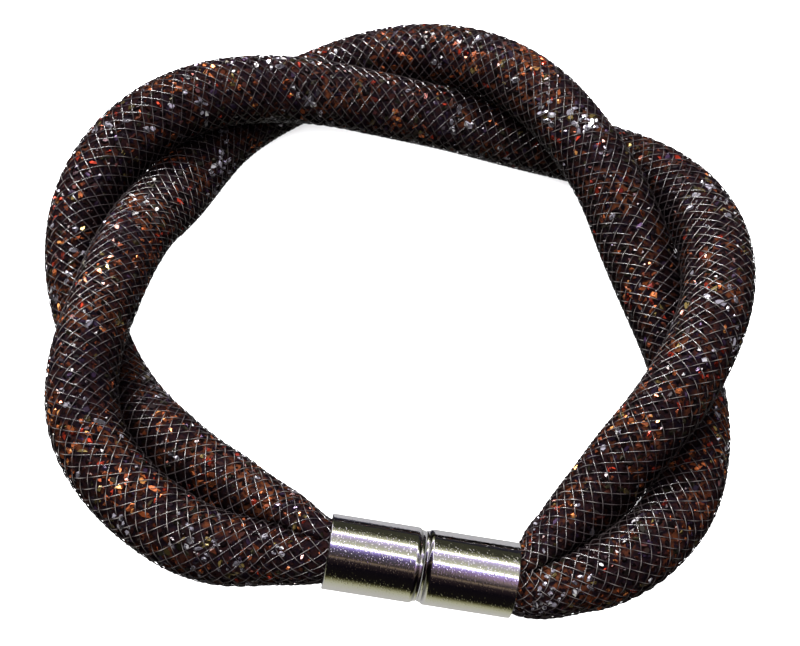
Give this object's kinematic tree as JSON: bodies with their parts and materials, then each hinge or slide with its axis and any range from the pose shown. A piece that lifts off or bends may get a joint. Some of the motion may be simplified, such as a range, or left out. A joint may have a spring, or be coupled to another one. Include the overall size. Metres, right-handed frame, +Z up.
{
  "type": "twisted crystal net bracelet",
  "caption": "Bracelet of two net tubes packed with small faceted crystals, twisted round each other and gathered at both ends in a polished cylindrical magnetic clasp.",
  "frame": {"origin": "middle of the outline in plan, on the surface that the bracelet lies on", "axes": "+Z up, through the wrist opening; the clasp is on the -Y side and runs roughly along X"},
  "size_m": [0.0852, 0.0782, 0.0171],
  "materials": {
    "net": "satin",
    "crystals": "gloss",
    "polished_steel": "polished",
    "magnet": "satin"
  },
  "bodies": {
    "root": {"net_sleeve_a": "net", "net_sleeve_b": "net", "crystal_fill_a": "crystals", "crystal_fill_b": "crystals", "clasp_cap_left": "polished_steel", "clasp_cap_right": "polished_steel", "clasp_magnet_left": "magnet", "clasp_magnet_right": "magnet"}
  },
  "joints": []
}
